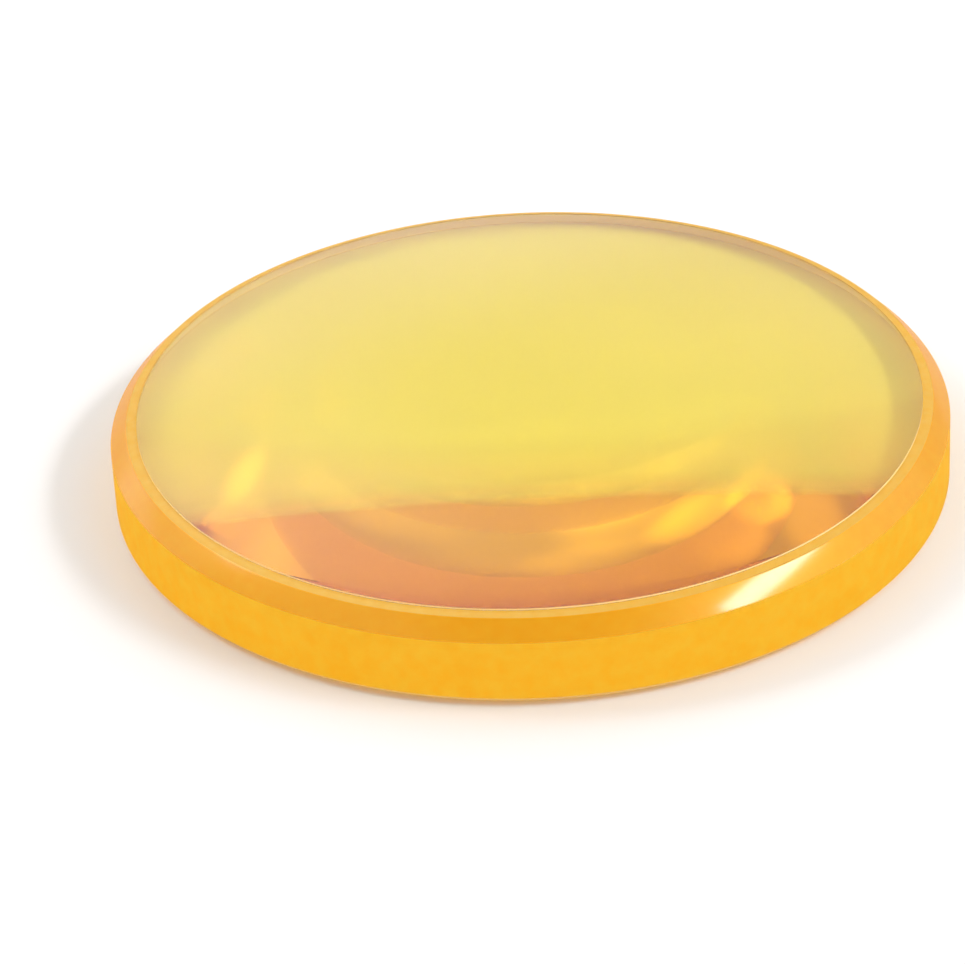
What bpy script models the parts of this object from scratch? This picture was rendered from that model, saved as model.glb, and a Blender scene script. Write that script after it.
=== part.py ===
"""Plano-convex laser focusing lens: a zinc selenide blank with an anti-reflection film on each face.

Metres, +Z up along the optical axis. The origin is the centre of the coated rear face, on which
the lens rests, and the convex front face looks up.
"""

import math

import bmesh
import bpy

COLLECTION_NAME = "laser_focusing_lens"

# Driving dimensions of the finished lens, over its coatings.
LENS_RADIUS = 0.010
EDGE_THICKNESS = 0.00205        # rear face to front face at the full radius, before the bevel
FOCAL_LENGTH = 0.0508
REFRACTIVE_INDEX = 2.4028       # zinc selenide at the 10.6 micrometre laser line
FRONT_BEVEL = 0.00040           # leg of the 45 degree protective bevel
REAR_BEVEL = 0.00015
CLEAR_APERTURE_RADIUS = 0.00935

# The films are a few thousandths of a millimetre thick, so they are drawn thicker.
COATING_THICKNESS = 0.00004
COATING_GAP = 0.00001

# A thin plano-convex lens bends light at its one curved face.
SURFACE_RADIUS = FOCAL_LENGTH * (REFRACTIVE_INDEX - 1.0)

# Facets of the turned shapes.
TURN_STEPS = 96
APERTURE_RINGS = 7
MERGE_DISTANCE = 1.0e-6
SMOOTH_ANGLE = math.radians(20.0)
FULL_TURN = math.radians(360.0)


def sphere_height(radius, distance_from_axis):
    """Height of a sphere's surface over its centre, at a distance from its axis."""
    return math.sqrt(radius ** 2 - distance_from_axis ** 2)


# Both coated faces are offsets of the finished ones, and the film's two sides share one centre.
CENTRE_HEIGHT = EDGE_THICKNESS - sphere_height(SURFACE_RADIUS, LENS_RADIUS)
COATING_DEPTH = COATING_THICKNESS + COATING_GAP
APERTURE_ANGLE = math.asin(CLEAR_APERTURE_RADIUS / SURFACE_RADIUS)


def remove_all_objects():
    """Start from an empty scene."""
    for existing in list(bpy.data.objects):
        bpy.data.objects.remove(existing, do_unlink=True)


def make_collection(name):
    """A collection for the lens's parts."""
    collection = bpy.data.collections.new(name)
    bpy.context.scene.collection.children.link(collection)
    return collection


def make_material(name, colour, roughness, transmission):
    """A dielectric finish with one colour."""
    material = bpy.data.materials.new(name)
    material.use_nodes = True
    shader = material.node_tree.nodes["Principled BSDF"]
    shader.inputs["Base Color"].default_value = (*colour, 1.0)
    shader.inputs["Metallic"].default_value = 0.0
    shader.inputs["Roughness"].default_value = roughness
    shader.inputs["Transmission Weight"].default_value = transmission
    material.diffuse_color = (*colour, 1.0)
    return material


def spherical_arc(radius, rings):
    """Points on a dome about CENTRE_HEIGHT, from its apex out to the clear aperture."""
    points = []
    for ring in range(rings + 1):
        angle = APERTURE_ANGLE * ring / rings
        points.append((radius * math.sin(angle), CENTRE_HEIGHT + radius * math.cos(angle)))
    return points


def turned_object(name, profile, collection, material):
    """Turn a profile of (distance from axis, height) points about the optical axis."""
    outline = bmesh.new()
    vertices = [outline.verts.new((distance, 0.0, height)) for distance, height in profile]
    for upper, lower in zip(vertices, vertices[1:]):
        outline.edges.new((upper, lower))
    mesh = bpy.data.meshes.new(name)
    outline.to_mesh(mesh)
    outline.free()
    mesh.materials.append(material)

    turned = bpy.data.objects.new(name, mesh)
    collection.objects.link(turned)
    screw = turned.modifiers.new("turn", "SCREW")
    screw.axis = "Z"
    screw.angle = FULL_TURN
    screw.steps = TURN_STEPS
    screw.render_steps = TURN_STEPS
    screw.use_merge_vertices = True
    screw.merge_threshold = MERGE_DISTANCE
    return turned


def bake_modifiers_and_smooth(turned):
    """Keep the turned surface as the object's own mesh, smooth except at its real edges."""
    depsgraph = bpy.context.evaluated_depsgraph_get()
    finished = bpy.data.meshes.new_from_object(turned.evaluated_get(depsgraph))
    finished.name = turned.name
    turned.modifiers.clear()
    turned.data = finished
    finished.shade_smooth()
    finished.set_sharp_from_angle(angle=SMOOTH_ANGLE)


def substrate_profile():
    """Half section of the blank: dome, front bevel, ground edge, rear bevel and flat rear face."""
    dome_radius = SURFACE_RADIUS - COATING_DEPTH
    bevel_top_radius = LENS_RADIUS - FRONT_BEVEL
    bevel_top_height = CENTRE_HEIGHT + sphere_height(dome_radius, bevel_top_radius)
    edge_top_height = bevel_top_height - FRONT_BEVEL
    profile = spherical_arc(dome_radius, APERTURE_RINGS)
    profile.append((bevel_top_radius, bevel_top_height))
    profile.append((LENS_RADIUS, edge_top_height))
    profile.append((LENS_RADIUS, COATING_DEPTH + REAR_BEVEL))
    profile.append((LENS_RADIUS - REAR_BEVEL, COATING_DEPTH))
    profile.append((0.0, COATING_DEPTH))
    return profile


def front_coating_profile():
    """Half section of the film on the convex face: its outer side, its rim and its inner side."""
    outer_side = spherical_arc(SURFACE_RADIUS, APERTURE_RINGS)
    inner_side = spherical_arc(SURFACE_RADIUS - COATING_THICKNESS, APERTURE_RINGS)
    return outer_side + inner_side[::-1]


def rear_coating_profile():
    """Half section of the film on the flat rear face."""
    return [
        (0.0, COATING_THICKNESS),
        (CLEAR_APERTURE_RADIUS, COATING_THICKNESS),
        (CLEAR_APERTURE_RADIUS, 0.0),
        (0.0, 0.0),
    ]


def build_substrate(collection):
    """The ground and polished zinc selenide blank."""
    material = make_material("zinc_selenide", (0.94, 0.56, 0.06), 0.08, 0.9)
    return turned_object("lens_substrate", substrate_profile(), collection, material)


def build_front_coating(collection):
    """The anti-reflection film on the convex face."""
    material = make_material("front_coating_film", (0.93, 0.72, 0.16), 0.03, 0.9)
    return turned_object("front_ar_coating", front_coating_profile(), collection, material)


def build_rear_coating(collection):
    """The anti-reflection film on the flat rear face."""
    material = make_material("rear_coating_film", (0.90, 0.66, 0.22), 0.03, 0.9)
    return turned_object("rear_ar_coating", rear_coating_profile(), collection, material)


def build_lens():
    """Build the blank and its two films in their places."""
    remove_all_objects()
    collection = make_collection(COLLECTION_NAME)
    for build in (build_substrate, build_front_coating, build_rear_coating):
        bake_modifiers_and_smooth(build(collection))


build_lens()
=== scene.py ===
"""Looks of a plano-convex zinc selenide laser lens, lying on a white table in soft studio light."""

import math

import bmesh
import bpy
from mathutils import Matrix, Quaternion, Vector


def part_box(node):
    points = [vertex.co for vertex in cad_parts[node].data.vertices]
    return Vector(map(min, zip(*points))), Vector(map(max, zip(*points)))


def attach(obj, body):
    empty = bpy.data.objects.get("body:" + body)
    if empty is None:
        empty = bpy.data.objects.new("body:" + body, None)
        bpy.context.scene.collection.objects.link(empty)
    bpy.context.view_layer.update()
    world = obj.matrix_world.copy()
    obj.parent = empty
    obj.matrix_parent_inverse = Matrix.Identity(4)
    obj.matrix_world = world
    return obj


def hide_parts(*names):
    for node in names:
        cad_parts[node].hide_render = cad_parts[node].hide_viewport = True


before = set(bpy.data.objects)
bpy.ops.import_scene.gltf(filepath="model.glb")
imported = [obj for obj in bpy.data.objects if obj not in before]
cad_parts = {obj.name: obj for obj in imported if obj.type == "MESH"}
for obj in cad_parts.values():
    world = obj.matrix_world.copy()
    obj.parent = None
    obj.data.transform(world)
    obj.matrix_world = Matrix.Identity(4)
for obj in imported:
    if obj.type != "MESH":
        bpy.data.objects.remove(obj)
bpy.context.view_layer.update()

# The lens, in metres, in the frame of the CAD part.
blank_low, blank_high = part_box("lens_substrate")
front_film_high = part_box("front_ar_coating")[1]
rear_film_low, rear_film_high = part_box("rear_ar_coating")
LENS_RADIUS = blank_high.x
CLEAR_APERTURE_RADIUS = front_film_high.x
FOCAL_LENGTH = 0.0508
LASER_INDEX = 2.4028            # zinc selenide at the 10.6 micrometre laser line
SURFACE_RADIUS = FOCAL_LENGTH * (LASER_INDEX - 1.0)
CENTRE_HEIGHT = front_film_high.z - SURFACE_RADIUS      # of the sphere that the convex face is on
BLANK_DOME_RADIUS = blank_high.z - CENTRE_HEIGHT
FILM_THICKNESS = rear_film_high.z - rear_film_low.z
FRONT_BEVEL = 0.00040
REAR_BEVEL = 0.00015
CORNER_ROUNDING = 0.00004

TURN_STEPS = 512
DOME_RINGS = 160
CORNER_STEPS = 4
SMOOTH_ANGLE = math.radians(35.0)
FULL_TURN = math.radians(360.0)


# --- Shapes -----------------------------------------------------------------------------------

def dome_point(radius, distance_from_axis):
    """A point on a dome about the surface's centre, as (distance from axis, height)."""
    return distance_from_axis, CENTRE_HEIGHT + math.sqrt(radius ** 2 - distance_from_axis ** 2)


def dome_arc(radius, outer, rings):
    """Points along a dome from its apex to a distance from the axis, evenly spaced."""
    return [dome_point(radius, outer * ring / rings) for ring in range(rings + 1)]


def rounded(before, corner, after, radius, steps=CORNER_STEPS):
    """An arc that rounds the corner between two straight stretches of a profile."""
    corner = Vector(corner)
    towards_before = (Vector(before) - corner).normalized()
    towards_after = (Vector(after) - corner).normalized()
    half_angle = towards_before.angle(towards_after) / 2.0
    reach = radius / math.tan(half_angle)
    centre = corner + (towards_before + towards_after).normalized() * radius / math.sin(half_angle)
    start = corner + towards_before * reach - centre
    end = corner + towards_after * reach - centre
    turn = start.angle_signed(end)
    points = []
    for step in range(steps + 1):
        angle = turn * step / steps
        spoke = Vector((
            start.x * math.cos(angle) + start.y * math.sin(angle),
            start.y * math.cos(angle) - start.x * math.sin(angle),
        ))
        points.append(tuple(centre + spoke))
    return points


def add_ring(shape, distance, height):
    """A ring of vertices about the optical axis, or the one vertex on it."""
    if distance == 0.0:
        return [shape.verts.new((0.0, 0.0, height))]
    ring = []
    for step in range(TURN_STEPS):
        angle = FULL_TURN * step / TURN_STEPS
        across = distance * math.cos(angle)
        along = distance * math.sin(angle)
        ring.append(shape.verts.new((across, along, height)))
    return ring


def join_rings(shape, upper, lower):
    """Faces between two neighbouring rings."""
    for step in range(TURN_STEPS):
        following = (step + 1) % TURN_STEPS
        corners = [upper[step % len(upper)], lower[step % len(lower)]]
        corners += [lower[following % len(lower)], upper[following % len(upper)]]
        shape.faces.new(list(dict.fromkeys(corners)))


def turned_piece(name, profile):
    """A closed body turned about the optical axis from an outline that starts and ends on it."""
    shape = bmesh.new()
    rings = [add_ring(shape, distance, height) for distance, height in profile]
    for upper, lower in zip(rings, rings[1:]):
        join_rings(shape, upper, lower)
    mesh = bpy.data.meshes.new(name)
    shape.to_mesh(mesh)
    shape.free()
    mesh.shade_smooth()
    mesh.set_sharp_from_angle(angle=SMOOTH_ANGLE)
    piece = bpy.data.objects.new(name, mesh)
    bpy.context.scene.collection.objects.link(piece)
    return piece


BEVEL_TOP = dome_point(BLANK_DOME_RADIUS, LENS_RADIUS - FRONT_BEVEL)
BEVEL_BOTTOM = (LENS_RADIUS, BEVEL_TOP[1] - FRONT_BEVEL)
WALL_BOTTOM = (LENS_RADIUS, blank_low.z + REAR_BEVEL)
REAR_RIM = (LENS_RADIUS - REAR_BEVEL, blank_low.z)
REAR_CENTRE = (0.0, blank_low.z)


def blank_profile():
    """Half section of the blank with its bevels, each corner rounded as grinding leaves it."""
    dome_before = dome_point(BLANK_DOME_RADIUS, LENS_RADIUS - FRONT_BEVEL * 2.0)
    first_corner = rounded(dome_before, BEVEL_TOP, BEVEL_BOTTOM, CORNER_ROUNDING)
    profile = dome_arc(BLANK_DOME_RADIUS, first_corner[0][0], DOME_RINGS)[:-1]
    profile += first_corner
    profile += rounded(BEVEL_TOP, BEVEL_BOTTOM, WALL_BOTTOM, CORNER_ROUNDING)
    profile += rounded(BEVEL_BOTTOM, WALL_BOTTOM, REAR_RIM, CORNER_ROUNDING)
    profile += rounded(WALL_BOTTOM, REAR_RIM, REAR_CENTRE, CORNER_ROUNDING)
    profile.append((CLEAR_APERTURE_RADIUS, blank_low.z))
    profile.append(REAR_CENTRE)
    return profile


def front_film_profile():
    """Half section of the film on the convex face."""
    outer = dome_arc(SURFACE_RADIUS, CLEAR_APERTURE_RADIUS, DOME_RINGS)
    inner = dome_arc(SURFACE_RADIUS - FILM_THICKNESS, CLEAR_APERTURE_RADIUS, DOME_RINGS)
    return outer + inner[::-1]


def rear_film_profile():
    """Half section of the film on the flat rear face."""
    rim_high = (CLEAR_APERTURE_RADIUS, rear_film_high.z)
    rim_low = (CLEAR_APERTURE_RADIUS, rear_film_low.z)
    return [(0.0, rear_film_high.z), rim_high, rim_low, (0.0, rear_film_low.z)]


# --- Materials --------------------------------------------------------------------------------

VISIBLE_INDEX = 2.63            # zinc selenide in yellow light
ABSORPTION_COLOUR = (0.994, 0.942, 0.0)
ABSORPTION_DENSITY = 500.0
POLISHED_TINT = (0.08, 0.06, 0.25)          # the films take most of the reflection away
SHEEN_INDEX = 1.9
SHEEN_ROUGHNESS = 0.12
BLOTCH_DETAIL = 3.0
GRAIN_DETAIL = 2.0
NOISE_LOW = 0.3                 # a noise seldom leaves this middle part of its range
NOISE_HIGH = 0.7

# Each ground finish: the size of its blotches in metres, the two colours that it reflects, the two
# that it lets through, its range of roughness, its grain (size, depth, strength), its index and the
# tint of its reflections, how much of its surface lets light through, and the weight of its sheen.
GROUND_FINISHES = {
    "margin_zinc_selenide": {
        "blotches": 0.0003,
        "reflected": ((1.0, 0.68, 0.10), (1.0, 0.73, 0.16)),
        "let_through": ((1.0, 0.82, 0.25), (1.0, 0.88, 0.35)),
        "roughness": (0.20, 0.26),
        "grain": (0.00004, 0.000001, 0.2),
        "index": VISIBLE_INDEX,
        "tint": (1.0, 0.7, 0.25),
        "translucence": 0.6,
        "sheen": 0.3,
    },
    "fine_ground_zinc_selenide": {
        "blotches": 0.0003,
        "reflected": ((1.0, 0.54, 0.0), (1.0, 0.58, 0.005)),
        "let_through": ((1.0, 0.68, 0.0), (1.0, 0.73, 0.01)),
        "roughness": (0.34, 0.42),
        "grain": (0.00004, 0.000001, 0.2),
        "index": VISIBLE_INDEX,
        "tint": (1.0, 0.65, 0.1),
        "translucence": 0.6,
        "sheen": 0.8,
    },
    "ground_zinc_selenide": {
        "blotches": 0.0004,
        "reflected": ((1.0, 0.70, 0.03), (1.0, 0.77, 0.08)),
        "let_through": ((1.0, 0.87, 0.5), (1.0, 0.97, 0.65)),
        "roughness": (0.40, 0.50),
        "grain": (0.00009, 0.000008, 0.5),
        "index": VISIBLE_INDEX,
        "tint": (1.0, 0.7, 0.25),
        "translucence": 0.75,
        "sheen": 0.0,
    },
    # The arris is ground zinc selenide like the edge. Its pale colours and low index are a painted
    # highlight: they stand in for the bright line that light from the table and from within the lens
    # puts along the foot.
    "arris_painted_highlight_zinc_selenide": {
        "blotches": 0.0002,
        "reflected": ((1.0, 0.93, 0.55), (1.0, 0.96, 0.65)),
        "let_through": ((1.0, 0.95, 0.7), (1.0, 0.98, 0.8)),
        "roughness": (0.35, 0.45),
        "grain": (0.00006, 0.000004, 0.4),
        "index": 1.3,
        "tint": (1.0, 0.9, 0.6),
        "translucence": 0.6,
        "sheen": 0.0,
    },
}

FILM_EDGE_COLOUR = (1.0, 0.84, 0.45)
FILM_EDGE_ROUGHNESS = 0.4
FILM_EDGE_INDEX = 1.3
FRONT_FILM_INDEX = 1.19
FRONT_FILM_COLOUR = (0.975, 0.965, 0.95)
REAR_FILM_INDEX = 1.05
REAR_FILM_COLOUR = (0.94, 0.905, 0.865)


def principled(name):
    """A new material and its Principled shader."""
    material = bpy.data.materials.new(name)
    material.use_nodes = True
    return material, material.node_tree.nodes["Principled BSDF"]


def set_inputs(shader, values):
    """Give a shader's sockets their plain values, each a number or a colour."""
    for socket, value in values.items():
        shader.inputs[socket].default_value = (*value, 1.0) if isinstance(value, tuple) else value


def absorb(material):
    """Fill a body with zinc selenide's own absorption, which takes blue first and then green."""
    tree = material.node_tree
    absorption = tree.nodes.new("ShaderNodeVolumeAbsorption")
    absorption.inputs["Color"].default_value = (*ABSORPTION_COLOUR, 1.0)
    absorption.inputs["Density"].default_value = ABSORPTION_DENSITY
    tree.links.new(absorption.outputs["Volume"], tree.nodes["Material Output"].inputs["Volume"])


def add_noise(tree, size, detail):
    """Noise in the lens's own space, with blotches of about a given size in metres."""
    place = tree.nodes.new("ShaderNodeTexCoord")
    noise = tree.nodes.new("ShaderNodeTexNoise")
    noise.inputs["Scale"].default_value = 1.0 / size
    noise.inputs["Detail"].default_value = detail
    tree.links.new(place.outputs["Object"], noise.inputs["Vector"])
    return noise.outputs["Fac"]


def add_range(tree, value, low, high):
    """Spread a noise over a range of numbers."""
    spread = tree.nodes.new("ShaderNodeMapRange")
    tree.links.new(value, spread.inputs["Value"])
    spread.inputs["From Min"].default_value = NOISE_LOW
    spread.inputs["From Max"].default_value = NOISE_HIGH
    spread.inputs["To Min"].default_value = low
    spread.inputs["To Max"].default_value = high
    return spread.outputs["Result"]


def add_colours(tree, value, first, second):
    """Blend two colours by a noise."""
    blend = tree.nodes.new("ShaderNodeMix")
    blend.data_type = "RGBA"
    colour_inputs = [socket for socket in blend.inputs if socket.type == "RGBA"]
    tree.links.new(add_range(tree, value, 0.0, 1.0), blend.inputs["Factor"])
    for socket, colour in zip(colour_inputs, (first, second)):
        socket.default_value = (*colour, 1.0)
    return [socket for socket in blend.outputs if socket.type == "RGBA"][0]


def add_grain(tree, size, depth, strength):
    """A bump of fine grains."""
    bump = tree.nodes.new("ShaderNodeBump")
    bump.inputs["Strength"].default_value = strength
    bump.inputs["Distance"].default_value = depth
    tree.links.new(add_noise(tree, size, GRAIN_DETAIL), bump.inputs["Height"])
    return bump.outputs["Normal"]


def polished_selenide():
    """Polished zinc selenide, with the low reflectance that its films give it."""
    material, shader = principled("polished_zinc_selenide")
    set_inputs(shader, {
        "Base Color": (1.0, 1.0, 1.0),
        "Roughness": 0.0,
        "IOR": VISIBLE_INDEX,
        "Specular Tint": POLISHED_TINT,
        "Transmission Weight": 1.0,
    })
    absorb(material)
    return material


def let_light_through(tree, shader, colour, bump, share):
    """Mix a shader with one that lets light through in all directions, and put it on the surface."""
    glow_through = tree.nodes.new("ShaderNodeBsdfTranslucent")
    tree.links.new(colour, glow_through.inputs["Color"])
    tree.links.new(bump, glow_through.inputs["Normal"])
    blend = tree.nodes.new("ShaderNodeMixShader")
    blend.inputs["Fac"].default_value = share
    tree.links.new(shader.outputs["BSDF"], blend.inputs[1])
    tree.links.new(glow_through.outputs["BSDF"], blend.inputs[2])
    tree.links.new(blend.outputs["Shader"], tree.nodes["Material Output"].inputs["Surface"])


def ground_selenide(name):
    """Ground zinc selenide: a soft sheen over a translucent surface, from the table of finishes."""
    finish = GROUND_FINISHES[name]
    material, shader = principled(name)
    tree = material.node_tree
    noise = add_noise(tree, finish["blotches"], BLOTCH_DETAIL)
    reflected = add_colours(tree, noise, *finish["reflected"])
    let_through = add_colours(tree, noise, *finish["let_through"])
    bump = add_grain(tree, *finish["grain"])
    set_inputs(shader, {
        "IOR": finish["index"],
        "Specular Tint": finish["tint"],
        "Coat Weight": finish["sheen"],
        "Coat Roughness": SHEEN_ROUGHNESS,
        "Coat IOR": SHEEN_INDEX,
    })
    tree.links.new(reflected, shader.inputs["Base Color"])
    tree.links.new(add_range(tree, noise, *finish["roughness"]), shader.inputs["Roughness"])
    tree.links.new(bump, shader.inputs["Normal"])
    let_light_through(tree, shader, let_through, bump, finish["translucence"])
    absorb(material)
    return material


def film_edge(name):
    """The film's own edge, where it thins out and scatters light."""
    material, shader = principled(name)
    set_inputs(shader, {
        "Base Color": FILM_EDGE_COLOUR,
        "Roughness": FILM_EDGE_ROUGHNESS,
        "IOR": FILM_EDGE_INDEX,
    })
    return material


def coating_film(name, index, colour):
    """The anti-reflection film."""
    material, shader = principled(name)
    set_inputs(shader, {
        "Base Color": colour,
        "Roughness": 0.0,
        "IOR": index,
        "Transmission Weight": 1.0,
    })
    return material


# --- The lens ---------------------------------------------------------------------------------

# The places of the finishes on the blank; the polished one is the first, 0.
MARGIN_SLOT, BEVEL_SLOT, WALL_SLOT, ARRIS_SLOT = range(1, len(GROUND_FINISHES) + 1)
LEVEL_NORMAL = 0.95             # a face is nearly level where its normal's Z goes beyond this


def choose_finish(blank):
    """Give the blank's front margin, bevels and edge their finishes; the rest stays polished."""
    for face in blank.data.polygons:
        distance = math.hypot(face.center.x, face.center.y)
        if distance < CLEAR_APERTURE_RADIUS or face.normal.z < -LEVEL_NORMAL:
            continue
        if face.normal.z > LEVEL_NORMAL:
            face.material_index = MARGIN_SLOT
        elif face.center.z > BEVEL_BOTTOM[1]:
            face.material_index = BEVEL_SLOT
        elif face.center.z > WALL_BOTTOM[1]:
            face.material_index = WALL_SLOT
        else:
            face.material_index = ARRIS_SLOT


def build_blank():
    """The zinc selenide blank."""
    blank = turned_piece("ground_lens_blank", blank_profile())
    blank.data.materials.append(polished_selenide())
    for name in GROUND_FINISHES:
        blank.data.materials.append(ground_selenide(name))
    choose_finish(blank)
    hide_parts("lens_substrate")
    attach(blank, "root")


def build_film(name, profile, index, colour, node):
    """One coating film, with a second finish round its edge."""
    film = turned_piece(name, profile)
    film.data.materials.append(coating_film(name, index, colour))
    film.data.materials.append(film_edge(name + "_edge"))
    for face in film.data.polygons:
        face.material_index = int(abs(face.normal.z) < LEVEL_NORMAL)
    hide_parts(node)
    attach(film, "root")


build_blank()
build_film(
    "front_coating", front_film_profile(), FRONT_FILM_INDEX, FRONT_FILM_COLOUR,
    "front_ar_coating")
build_film(
    "rear_coating", rear_film_profile(), REAR_FILM_INDEX, REAR_FILM_COLOUR,
    "rear_ar_coating")


# --- Floor, light and camera ------------------------------------------------------------------

FLOOR_SIZE = 6.0
FLOOR_COLOUR = (0.87, 0.87, 0.87)
FLOOR_ROUGHNESS = 0.9
FLOOR_DROP = 0.00002            # the table lies a hair below the film, so the two never coincide

CAMERA_AZIMUTH = -90.0
CAMERA_ELEVATION = 30.98
CAMERA_ROLL = -2.59
CAMERA_DISTANCE = 10.0 * LENS_RADIUS
CAMERA_FOCAL_LENGTH = 154.87
CAMERA_SENSOR = 36.0
CAMERA_SHIFT = (-0.0517, -0.0107)
CAMERA_NEAR_SHARE = 0.01        # how near the camera starts to see, as a share of its distance


def direction(azimuth, elevation):
    """The unit vector at an azimuth, anticlockwise from +X, and an elevation, both in degrees."""
    a = math.radians(azimuth)
    e = math.radians(elevation)
    return Vector((math.cos(a) * math.cos(e), math.sin(a) * math.cos(e), math.sin(e)))


def build_floor():
    """A plain white table."""
    bpy.ops.mesh.primitive_plane_add(size=FLOOR_SIZE, location=(0.0, 0.0, -FLOOR_DROP))
    floor = bpy.context.object
    floor.name = "floor"
    material, shader = principled("white_table")
    set_inputs(shader, {"Base Color": FLOOR_COLOUR, "Roughness": FLOOR_ROUGHNESS})
    floor.data.materials.append(material)


def add_math(tree, operation, first, second):
    """A maths node on two inputs, each a socket or a number."""
    node = tree.nodes.new("ShaderNodeMath")
    node.operation = operation
    for socket, value in zip(node.inputs, (first, second)):
        if isinstance(value, bpy.types.NodeSocket):
            tree.links.new(value, socket)
        else:
            socket.default_value = value
    return node.outputs["Value"]


def add_glow(tree, heading, total, azimuth, elevation, full, edge, strength):
    """Add a round patch of light to the sky: full out to one angle, fading to nothing at another."""
    facing = tree.nodes.new("ShaderNodeVectorMath")
    facing.operation = "DOT_PRODUCT"
    tree.links.new(heading, facing.inputs[0])
    facing.inputs[1].default_value = direction(azimuth, elevation)
    fade = tree.nodes.new("ShaderNodeMapRange")
    fade.interpolation_type = "SMOOTHSTEP"
    tree.links.new(facing.outputs["Value"], fade.inputs["Value"])
    fade.inputs["From Min"].default_value = math.cos(math.radians(edge))
    fade.inputs["From Max"].default_value = math.cos(math.radians(full))
    fade.inputs["To Min"].default_value = 0.0
    fade.inputs["To Max"].default_value = strength
    return add_math(tree, "ADD", total, fade.outputs["Result"])


SKY_BASE = 0.745
# Each glow: azimuth, elevation, angle out to which it is full, angle at which it ends, and strength,
# where a strength below nothing makes a darker patch.
SKY_GLOWS = (
    (147.0, 7.0, 6.0, 15.0, 1.2),
    (129.0, 16.0, 6.0, 17.0, 0.8),
    (165.0, 42.0, 4.0, 10.0, 7.0),
    (150.0, 48.0, 5.0, 12.0, 3.0),
    (160.0, 26.0, 4.0, 12.0, 0.4),
    (-3.0, 18.0, 3.0, 11.0, 3.2),
    (20.0, 22.0, 8.0, 20.0, 0.4),
    (42.0, 38.0, 10.0, 28.0, 0.3),
    (85.0, 27.0, 10.0, 24.0, 0.15),
    (100.0, 14.0, 5.0, 16.0, 0.25),
    (118.0, 34.0, 6.0, 24.0, 0.4),
    (112.0, 50.0, 8.0, 22.0, 0.6),
    (190.0, 18.0, 8.0, 20.0, -0.2),
    (-90.0, 62.0, 12.0, 30.0, -0.4),
    (-25.0, 28.0, 10.0, 35.0, 0.15),
)


def build_world():
    """Light from all round: a pale tent with brighter and darker patches."""
    world = bpy.data.worlds.new("light_tent")
    world.use_nodes = True
    bpy.context.scene.world = world
    tree = world.node_tree
    background = tree.nodes["Background"]
    background.inputs["Color"].default_value = (1.0, 1.0, 1.0, 1.0)
    heading = tree.nodes.new("ShaderNodeTexCoord").outputs["Generated"]
    total = SKY_BASE
    for azimuth, elevation, full, edge, strength in SKY_GLOWS:
        total = add_glow(tree, heading, total, azimuth, elevation, full, edge, strength)
    tree.links.new(add_math(tree, "MAXIMUM", total, 0.0), background.inputs["Strength"])


SOFTBOX_AZIMUTH = -14.0
SOFTBOX_ELEVATION = 44.0
SOFTBOX_DISTANCE = 0.5
SOFTBOX_WIDTH = 0.26
SOFTBOX_HEIGHT = 0.06
SOFTBOX_POWER = 1.0


def build_softbox():
    """A soft rectangular light at the right that faces the lens."""
    data = bpy.data.lights.new("right_softbox", "AREA")
    data.shape = "RECTANGLE"
    data.size = SOFTBOX_WIDTH
    data.size_y = SOFTBOX_HEIGHT
    data.energy = SOFTBOX_POWER
    light = bpy.data.objects.new("right_softbox", data)
    bpy.context.scene.collection.objects.link(light)
    light.location = direction(SOFTBOX_AZIMUTH, SOFTBOX_ELEVATION) * SOFTBOX_DISTANCE
    light.rotation_euler = light.location.to_track_quat("Z", "Y").to_euler()


def build_camera():
    """The view of the lens from in front and above, tipped a little."""
    data = bpy.data.cameras.new("camera")
    data.sensor_width = CAMERA_SENSOR
    data.lens = CAMERA_FOCAL_LENGTH
    data.shift_x, data.shift_y = CAMERA_SHIFT
    data.clip_start = CAMERA_DISTANCE * CAMERA_NEAR_SHARE
    camera = bpy.data.objects.new("camera", data)
    bpy.context.scene.collection.objects.link(camera)
    bpy.context.scene.camera = camera
    view = direction(CAMERA_AZIMUTH, CAMERA_ELEVATION)
    camera.location = view * CAMERA_DISTANCE
    tip = Quaternion((0.0, 0.0, 1.0), math.radians(CAMERA_ROLL))
    camera.rotation_mode = "QUATERNION"
    camera.rotation_quaternion = view.to_track_quat("Z", "Y") @ tip


LIGHT_BOUNCES = 64


def set_light_paths():
    """Follow light through its many reflections inside the lens, and keep the plain colours."""
    scene = bpy.context.scene
    scene.view_settings.view_transform = "Standard"
    scene.cycles.max_bounces = LIGHT_BOUNCES
    scene.cycles.glossy_bounces = LIGHT_BOUNCES
    scene.cycles.transmission_bounces = LIGHT_BOUNCES
    scene.cycles.sample_clamp_indirect = 0.0
    scene.cycles.blur_glossy = 0.0


build_floor()
build_world()
build_softbox()
build_camera()
set_light_paths()
